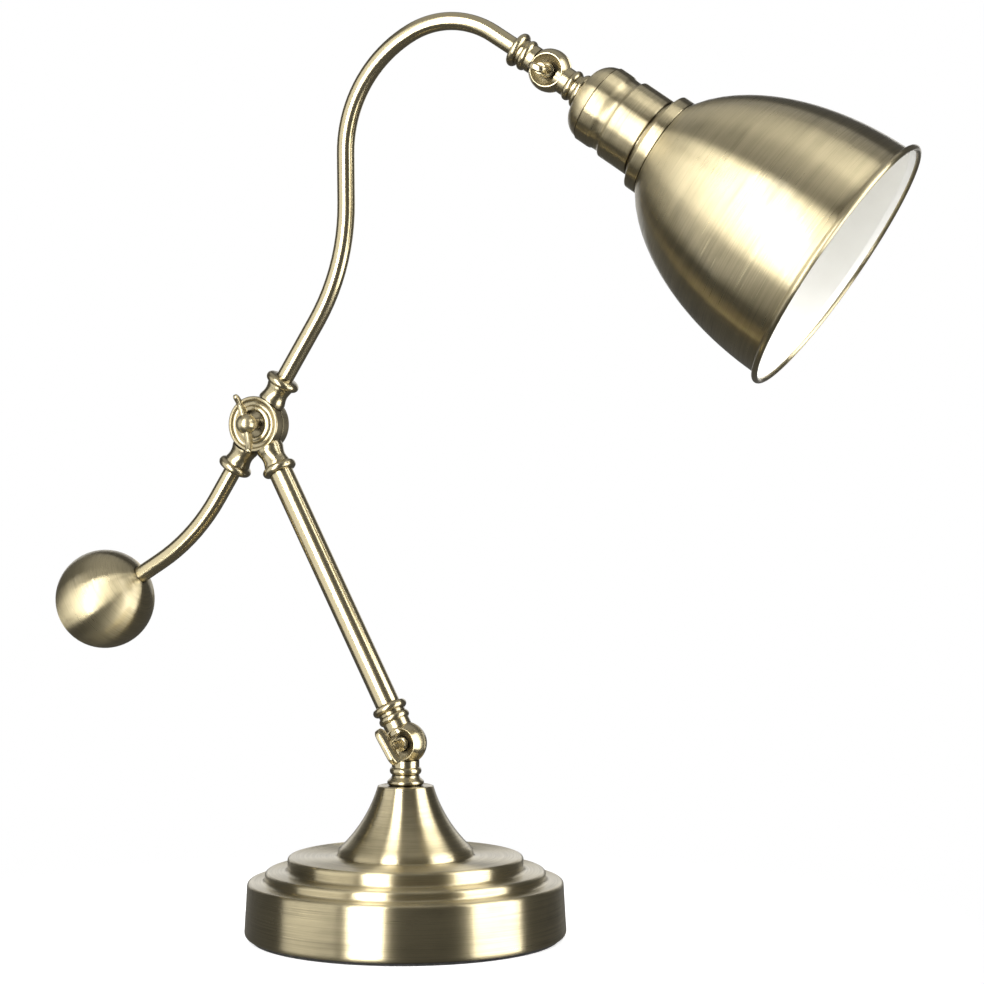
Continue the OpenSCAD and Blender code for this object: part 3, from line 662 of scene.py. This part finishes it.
def bent_tube(radius, start, heading, path, sides=40):
    """A tube in the XZ plane, in millimetres. A step is (length,) or (former radius, turn)."""
    shell = bmesh.new()
    along = shell.verts.layers.float.new("along")
    around = shell.verts.layers.float.new("around")
    x, z, gone = start[0], start[1], 0.0
    ring = bmesh.ops.create_circle(shell, radius=radius * MM, segments=sides)["verts"]
    for vert in ring:
        vert[around] = (math.atan2(vert.co.y, vert.co.x) / math.tau) % 1
    turn = Matrix.Rotation(math.radians(90 - heading), 4, "Y")
    shell.transform(Matrix.Translation((x * MM, 0, z * MM)) @ turn)
    edges = shell.edges[:]
    for step in path:
        cuts = 1 if len(step) == 1 else math.ceil(abs(step[1]) / BEND_STEP)
        for _ in range(cuts):
            if len(step) == 1:
                way = heading_way(heading)
                made = bmesh.ops.extrude_edge_only(shell, edges=edges)["geom"]
                bmesh.ops.translate(shell, vec=way * step[0] * MM,
                                    verts=[g for g in made if isinstance(g, bmesh.types.BMVert)])
                x, z, gone = x + way.x * step[0], z + way.z * step[0], gone + step[0]
            else:
                former, part = step[0], step[1] / cuts
                side = math.copysign(former, part)
                centre_x = x - side * math.sin(math.radians(heading))
                centre_z = z + side * math.cos(math.radians(heading))
                made = bmesh.ops.spin(shell, geom=edges, cent=(centre_x * MM, 0, centre_z * MM),
                                      axis=(0, -1, 0), angle=math.radians(part), steps=1,
                                      use_merge=False)["geom_last"]
                heading += part
                x = centre_x + side * math.sin(math.radians(heading))
                z = centre_z - side * math.cos(math.radians(heading))
                gone += former * math.radians(abs(part))
            edges = [g for g in made if isinstance(g, bmesh.types.BMEdge)]
            for g in made:
                if isinstance(g, bmesh.types.BMVert):
                    g[along] = gone * MM
    bmesh.ops.holes_fill(shell, edges=[e for e in shell.edges if e.is_boundary], sides=0)
    bmesh.ops.recalc_face_normals(shell, faces=shell.faces)
    write_turning(shell, along, around)
    return shell, (x, z, heading)


# %% Lower tube
LOWER_TUBE = (18.0, 174.6)          # from the lower pivot, along the arm
LOWER_TUBE_R = 7
ARM_TUBE_R = 5
TUBE_START = 22                     # from the hub's pivot, inside a collar
piece("drawn_lower_tube", "lower_arm", ["lower_tube"], tube_brass,
      [(lathe([(0, LOWER_TUBE[0]), (LOWER_TUBE_R, LOWER_TUBE[0]),
               (LOWER_TUBE_R, LOWER_TUBE[1]), (0, LOWER_TUBE[1])], 64),
        at(lower_pivot, lower_axis))])

# %% Upper arm
LEVER_HEADING = 57.2                # the hub's collars, from level
COLLAR_TURN = 7.8                   # the upper arm is turned in its collar by this much
lean = math.radians(90 - LEVER_HEADING)
in_arm_plane = Matrix.Translation(hub_pivot)
in_head_plane = (in_arm_plane @ Matrix.Rotation(lean, 4, "Y")
                 @ Matrix.Rotation(math.radians(COLLAR_TURN), 4, "Z")
                 @ Matrix.Rotation(-lean, 4, "Y"))
lever_way = heading_way(LEVER_HEADING)


def from_hub(way, distance):
    return (way.x * distance, way.z * distance)


upper_shell, upper_end = bent_tube(
    ARM_TUBE_R, from_hub(lever_way, TUBE_START), LEVER_HEADING,
    [(47,), (128, 31.5), (27.4,), (75, -62), (47.3, -61), (20.5,)])
piece("bent_upper_tube", "lever", ["upper_tube"], tube_brass,
      [(upper_shell, in_head_plane)])
head_tube_way = -(in_head_plane.to_3x3() @ heading_way(upper_end[2]))

# %% Counterweight arm and ball
BALL_PAST_TUBE = 9                  # from the tube's end to the ball's middle
WEIGHT_R = 29
weight_shell, weight_end = bent_tube(
    ARM_TUBE_R, from_hub(-lever_way, TUBE_START), LEVER_HEADING - 180,
    [(28.5,), (117, -26.3), (35.6,)])
piece("bent_weight_tube", "lever", ["counterweight_tube"], tube_brass,
      [(weight_shell, in_arm_plane)])
weight_way = heading_way(weight_end[2])
ball_centre = (hub_pivot + Vector((weight_end[0], 0, weight_end[1])) * MM
               + weight_way * BALL_PAST_TUBE * MM)
piece("counterweight", "lever", ["counterweight_ball"], brushed_brass,
      [(lathe(arc(0, 0, WEIGHT_R, -90, 79, 40) + [(5.2, 28.4), (5.0, 27.5), (0, 27.5)], 128),
        at(ball_centre, -weight_way))])
print("ball centre", [round(c / MM, 1) for c in ball_centre])

# %% [markdown]
# ## The hub
#
# The hub is two thick plates on one screw. The front plate belongs to the lower arm, and its
# face has a rim, a hollow band and a raised ring round the recess of the screw. The back plate
# carries the lever's two collars. Each collar is a waisted neck that ends in a bead. Beside the
# other plate a collar is hollowed to that plate's round edge.

# %% Hub shells
PLATE_R = 16.0
PLATE_FACE = 7.5
COLLAR_R = 7.9
COLLAR_START = 14                   # from the hub's pivot, before the plate's edge bends it


def plate_outline(front):
    edge = [(PLATE_R - 0.4, SPLIT), (PLATE_R, SPLIT + 0.4), (PLATE_R, PLATE_FACE - 1)]
    face = (arc(PLATE_R - 1, PLATE_FACE - 1, 1, 10, 90, 5)
            + arc(12.2, PLATE_FACE + 0.6, 2.2, -18, -162, 10))
    if not front:
        return [(0, SPLIT)] + edge + face + [(9.6, 7.6), (0, 7.6)]
    ring = arc(8.75, 6.35, 1.45, 50, 180, 8)
    return [(BORE_R, SPLIT)] + edge + face + ring + [(7.3, 3.2), (BORE_R, 3.2)]


def collar_outline():
    waist = [(COLLAR_R - 1.1 * math.sin(math.pi * k / 10), 16.8 + 9.5 * k / 10)
             for k in range(1, 10)]
    return ([(0, COLLAR_START), (COLLAR_R, COLLAR_START), (COLLAR_R, 16.6)] + waist
            + bead(20, 5, 28.8, 7.6, 12) + [(7.2, 31.4), (0, 31.4)])


def hub_collar(side):
    """A collar and the block that joins it to its own plate."""
    collar = lathe(collar_outline(), KNUCKLE_STEPS)
    follow_edge(collar, PLATE_R + 0.4)
    root = lathe([(0, COLLAR_START), (7.88, COLLAR_START), (7.88, 16.7), (0, 16.7)],
                 KNUCKLE_STEPS)
    follow_edge(root, PLATE_R - 0.5)
    return collar, split(root, side)


def follow_edge(shell, radius):
    """Bends the start of a collar to a plate's round edge."""
    for vert in shell.verts:
        if vert.co.z < (COLLAR_START + 0.5) * MM:
            vert.co.z = math.sqrt(radius ** 2 - (vert.co.x / MM) ** 2) * MM


def hub_plate(name, body, node, side, headings):
    plate = lathe(plate_outline(side < 0), 96, closed=side < 0)
    shells = [(plate, at(hub_pivot, FRONT if side < 0 else -FRONT, UP))]
    for way in headings:
        for shell in hub_collar(side):
            shells.append((shell, at(hub_pivot, way)))
    piece(name, body, [node], turned_brass, shells)


# %% Hub plates
hub_plate("hub_front", "lower_arm", "hub_front_plate", -1, [-lower_axis])
hub_plate("hub_back", "lever", "hub_back_plate", 1, [lever_way, -lever_way])

# %% Head knuckle
knuckle_half("head_ball_back", "lever", "head_knuckle_arm_half", head_pivot, head_tube_way, 1, 5,
             head_front)
knuckle_half("head_ball_front", "head", "head_knuckle_shade_half", head_pivot, shade_axis, -1, 5,
             head_front)

# %% [markdown]
# ## Clamp screws
#
# Three screws hold the arms. The two at the knuckles have a flat key with round ends, and the
# hub has a butterfly with two swept horns. A key is a slab whose corners are rounded by one
# large bevel, and whose rims are then softened by a small one. A horn is a flat outline that is
# extruded to its thickness and bevelled the same way.

# %% Screw shells
KEY_REACH = 22.5                    # from the knuckle's split to the middle of the key
KEY_HEIGHT = 9
KEY_THICK = 3.6
HORN_THICK = 2.8


def flat_map(shell):
    """A turning map for what isn't turned: lengthwise brushing, with no seam to mend."""
    turning = shell.loops.layers.uv.new("turning")
    for face in shell.faces:
        for loop in face.loops:
            loop[turning].uv = (loop.vert.co.z, 0.25 + loop.vert.co.y * 4)


def soften(shell, width, above):
    """Bevels every edge that turns by more than above, in degrees."""
    edges = [e for e in shell.edges
             if e.is_manifold and math.degrees(e.calc_face_angle(0)) > above]
    bmesh.ops.bevel(shell, geom=edges, offset=width * MM, offset_type="OFFSET", affect="EDGES",
                    segments=3, profile=0.5, material=-1, clamp_overlap=True)


def key_shell(length):
    shell = bmesh.new()
    bmesh.ops.create_cube(shell, size=1)
    bmesh.ops.scale(shell, vec=(KEY_THICK * MM, length * MM, KEY_HEIGHT * MM),
                    verts=shell.verts)
    corners = [e for e in shell.edges
               if abs(e.verts[0].co.x - e.verts[1].co.x) > KEY_THICK * MM * 0.9]
    bmesh.ops.bevel(shell, geom=corners, offset=(KEY_HEIGHT / 2 - 0.05) * MM,
                    offset_type="OFFSET", affect="EDGES", segments=14, profile=0.5, material=-1)
    soften(shell, 0.9, above=60)
    bmesh.ops.translate(shell, vec=(0, 0, KEY_REACH * MM), verts=shell.verts)
    flat_map(shell)
    return shell


def horn_shell(turned):
    points = [(4, 12.2), (8, 12.2), (13, 14.4), (16.4, 17.4), (17.5, 20), (15.4, 20.9),
              (12, 18.8), (7.5, 17.8), (4, 17.6)]
    shell = bmesh.new()
    spots = [(-HORN_THICK / 2 * MM, y * MM, z * MM) for y, z in points]
    face = shell.faces.new([shell.verts.new(spot) for spot in spots])
    made = bmesh.ops.extrude_face_region(shell, geom=[face])["geom"]
    bmesh.ops.translate(shell, vec=(HORN_THICK * MM, 0, 0),
                        verts=[g for g in made if isinstance(g, bmesh.types.BMVert)])
    bmesh.ops.recalc_face_normals(shell, faces=shell.faces)
    soften(shell, 0.8, above=25)
    if turned:
        bmesh.ops.rotate(shell, cent=(0, 0, 0), verts=shell.verts,
                         matrix=Matrix.Rotation(math.pi, 3, "Z"))
    flat_map(shell)
    return shell


def key_screw(name, body, node, pivot, front, along, turn, length):
    """turn swings the key about the screw, from the direction that its arm takes."""
    across = Matrix.Rotation(math.radians(turn), 3, -front) @ along
    place = at(pivot, front, across)
    stem = ([(0, -7.5), (2.4, -7.5), (2.4, 4.7), (3.6, 4.7), (4, 5.1), (4, 6.1), (3.6, 6.5),
             (2.8, 6.8), (2.6, 12), (3.0, KEY_REACH - 3.4), (0, KEY_REACH - 3.2)])
    piece(name, body, [node], turned_brass,
          [(lathe(stem, 48), place), (key_shell(length), place)])


# %% Clamp screws
WING_TURN = -14.5                   # degrees from upright
key_screw("lower_key", "lower_clamp", "lower_clamp_screw", lower_pivot, FRONT, lower_axis,
          turn=-4, length=22)
key_screw("head_key", "head_clamp", "head_clamp_screw", head_pivot, head_front, shade_axis,
          turn=-10, length=11)
wing_way = Matrix.Rotation(math.radians(WING_TURN), 3, "Y") @ UP
wing_place = at(hub_pivot, FRONT, wing_way)
boss = ([(0, -5), (2.4, -5), (2.4, 3.7), (3.6, 3.7), (3.5, 8.4), (4.4, 9.6)]
        + arc(0, 14.6, 5.9, -42, 90, 14))
piece("hub_wing", "hub_clamp", ["hub_clamp_screw"], turned_brass,
      [(lathe(boss, 64), wing_place), (horn_shell(False), wing_place),
       (horn_shell(True), wing_place)])

# %% [markdown]
# ## The lampholder and the shade
#
# The head is a stack of spun and turned pieces on one axis: a domed cup, a sleeve, a gallery
# that grips the shade, and the bell. A groove parts the cup from the sleeve. The bell is spun
# from thin sheet, a quarter of an ellipse in section, and its lip turns out into a wired edge.
# The inside is enamelled, so the enamel is a skin of its own that ends at the wire.

# %% Lampholder
SPUN_STEPS = 128
GRIP_BORE = 20.1                    # the hole that the lampholder's body passes through
head_place = at(head_pivot, shade_axis, head_front)
piece("spun_cup", "head", ["lampholder_cup"], brushed_brass,
      [(lathe([(5.1, 24), (14.6, 23.9)] + arc(9.6, 35.3, 12.6, -60, -22, 10)
              + [(21.95, 32.9), (21.65, 33.3), (22.6, 33.75), (22.6, 40.8), (22.4, 42.4),
                 (21.75, 43.6), (21.7, 46), (20.4, 46), (20.4, 41), (5.1, 26)],
              SPUN_STEPS, closed=True), head_place)])
piece("spun_sleeve", "head", ["lampholder_sleeve"], brushed_brass,
      [(lathe([(21.7, 46), (21.7, 47.4), (22.0, 48.4)] + arc(22.3, 50.2, 1.2, -70, 0, 4)
              + [(23.5, 66.6)] + arc(22.9, 67.4, 0.6, 0, 80, 3)
              + [(22.4, 68.4), (22.3, 69), (20.4, 69), (20.4, 46)],
              SPUN_STEPS, closed=True), head_place)])
piece("shade_grip", "head", ["shade_gallery"], brushed_brass,
      [(lathe([(22.3, 69), (23.4, 69.2), (26.8, 70.9), (27.2, 71.4), (28.2, 71.7)]
              + arc(28.2, 72.3, 0.6, -60, 0, 3) + [(28.8, 77.6)]
              + arc(28.2, 78.2, 0.6, 0, 80, 3) + [(27.6, 79), (GRIP_BORE, 79), (GRIP_BORE, 69)],
              SPUN_STEPS, closed=True), head_place)])

# %% Bell
BELL_TOP = 79.0
BELL_MOUTH = 188.0
BELL_R = 71.7
BELL_QUARTER = 119.0                # the ellipse's half height
SHADE_WALL = 0.9


def bell_curve(inset, pieces=36):
    """The bell's section from its top to its mouth, closer together where it bends most."""
    points = []
    for k in range(pieces + 1):
        part = k / pieces
        z = BELL_TOP + (BELL_MOUTH - BELL_TOP) * part * (2 - part)
        r = BELL_R * math.sqrt(1 - ((BELL_MOUTH - z) / BELL_QUARTER) ** 2)
        points.append((r - inset, z + (inset if k == 0 else 0)))
    return points


lip = arc(BELL_R + 2.7, BELL_MOUTH, 2.7, 178, 125, 6)
wire = arc(BELL_R + 2.5, BELL_MOUTH + 3.5, 1.65, 200, -130, 20)
shade_outline = ([(GRIP_BORE, BELL_TOP)] + bell_curve(0) + lip[1:] + wire
                 + [(BELL_R + 1.2, BELL_MOUTH + 1.8), (BELL_R - SHADE_WALL, BELL_MOUTH - 0.5)]
                 + bell_curve(SHADE_WALL)[::-1][1:] + [(GRIP_BORE, BELL_TOP + SHADE_WALL)])
piece("spun_bell", "head", ["shade"], brushed_brass,
      [(lathe(shade_outline, 192, closed=True), head_place)])
ENAMEL = 0.25
skin = bell_curve(SHADE_WALL + ENAMEL)
flared = [(BELL_R - SHADE_WALL, BELL_MOUTH + 0.6), (BELL_R + 0.1, BELL_MOUTH + 2.3),
          (BELL_R + 1.4, BELL_MOUTH + 3.8)]
piece("enamel_skin", "head", ["shade_lining"], enamel,
      [(lathe([(GRIP_BORE, BELL_TOP + SHADE_WALL + ENAMEL)] + skin + flared, 160), head_place)])

# %% [markdown]
# ## Inside the shade
#
# The lamp thread sits in a porcelain body, and a porcelain ring screws up against the shade to
# hold it. They are seen only from below. The thread's turns are made as plain rings. The ring
# that holds the shade has shallow grip flutes, which are cut by drawing in two columns out of
# every four of its outer wall.

# %% Porcelain, thread and ring
THREAD_R = 13.35
THREAD_START = 66
THREAD_LENGTH = 25
THREAD_TURNS = 7
BODY_BORE = 14.15
RING_STEPS = 96
FLUTE = 0.975                       # how far in a fluted column is drawn
piece("porcelain_body", "head", ["lampholder_body"], porcelain,
      [(lathe([(3, 48), (20, 48), (20, 92), (19, 93), (14.4, 93), (BODY_BORE, 92),
               (BODY_BORE, 66), (6, 65.9), (6, 60), (3, 60)], 96, closed=True), head_place)])
shell_points = []
for k in range(THREAD_TURNS * 4 + 1):
    z = THREAD_START + THREAD_LENGTH * k / (THREAD_TURNS * 4)
    shell_points.append((THREAD_R + 0.25 + 0.25 * math.cos(math.pi * k / 2), z))
piece("lamp_thread_lining", "head", ["lamp_thread_shell"], bare_brass,
      [(lathe([(BODY_BORE, THREAD_START + THREAD_LENGTH), (BODY_BORE, THREAD_START)]
              + shell_points, 96, closed=True), head_place)])
ring_shell = lathe([(GRIP_BORE, 80.4), (25.5, 80.4), (25.5, 82.4), (23.4, 82.8), (23.4, 86.6),
                    (22.9, 87.3), (GRIP_BORE, 87.3)], RING_STEPS, closed=True)
for vert in ring_shell.verts:
    column = round(math.atan2(vert.co.y, vert.co.x) / math.tau * RING_STEPS) % 4
    if vert.co.z > 82.6 * MM and vert.co.xy.length > 22 * MM and column < 2:
        vert.co.xy *= FLUTE
piece("porcelain_ring", "head", ["shade_ring"], porcelain, [(ring_shell, head_place)])

# %% Cord bushing
BUSHING_BACK = 82.5
BUSHING_HEIGHT = 15
bushing_place = at(Vector((0, BUSHING_BACK * MM, BUSHING_HEIGHT * MM)), -FRONT, UP)
piece("cord_bushing", "base", ["cable_bushing"], black_plastic,
      [(lathe([(3.4, 0), (7.25, 0), (7.25, 4), (5.25, 4), (5.25, 7.1), (6.75, 7.1), (6.75, 8.2),
               (6.2, 9), (4.2, 9), (3.4, 8.4)], 64, closed=True), bushing_place)])

# %% [markdown]
# ## What stays as the CAD made it
#
# Rods, nuts, washers, leads and the weight are hidden inside the brass. Their shapes are right
# as they are, so they only get a finish.

# %% Finish the hidden pieces
hidden_finish = {
    cast_iron: ["base_weight"],
    zinc_steel: ["base_plate", "rod_washer", "rod_nut", "nipple_nut"],
    felt: ["foot_pad"],
    bare_brass: ["base_rod", "head_nipple", "lamp_contact"],
    fibre: ["lower_knuckle_washer", "hub_washer", "head_knuckle_washer"],
    lead_cover: ["lead_in_base", "lead_in_lower_arm", "lead_in_upper_arm", "lead_in_head"],
}
for material, names in hidden_finish.items():
    for name in names:
        mesh = frame["nodes"][name].data
        mesh.materials.clear()
        mesh.materials.append(material)
        print(name, "is", material.name)

# %% Measure the whole and finish
print("triangles in all", sum(counts.values()))
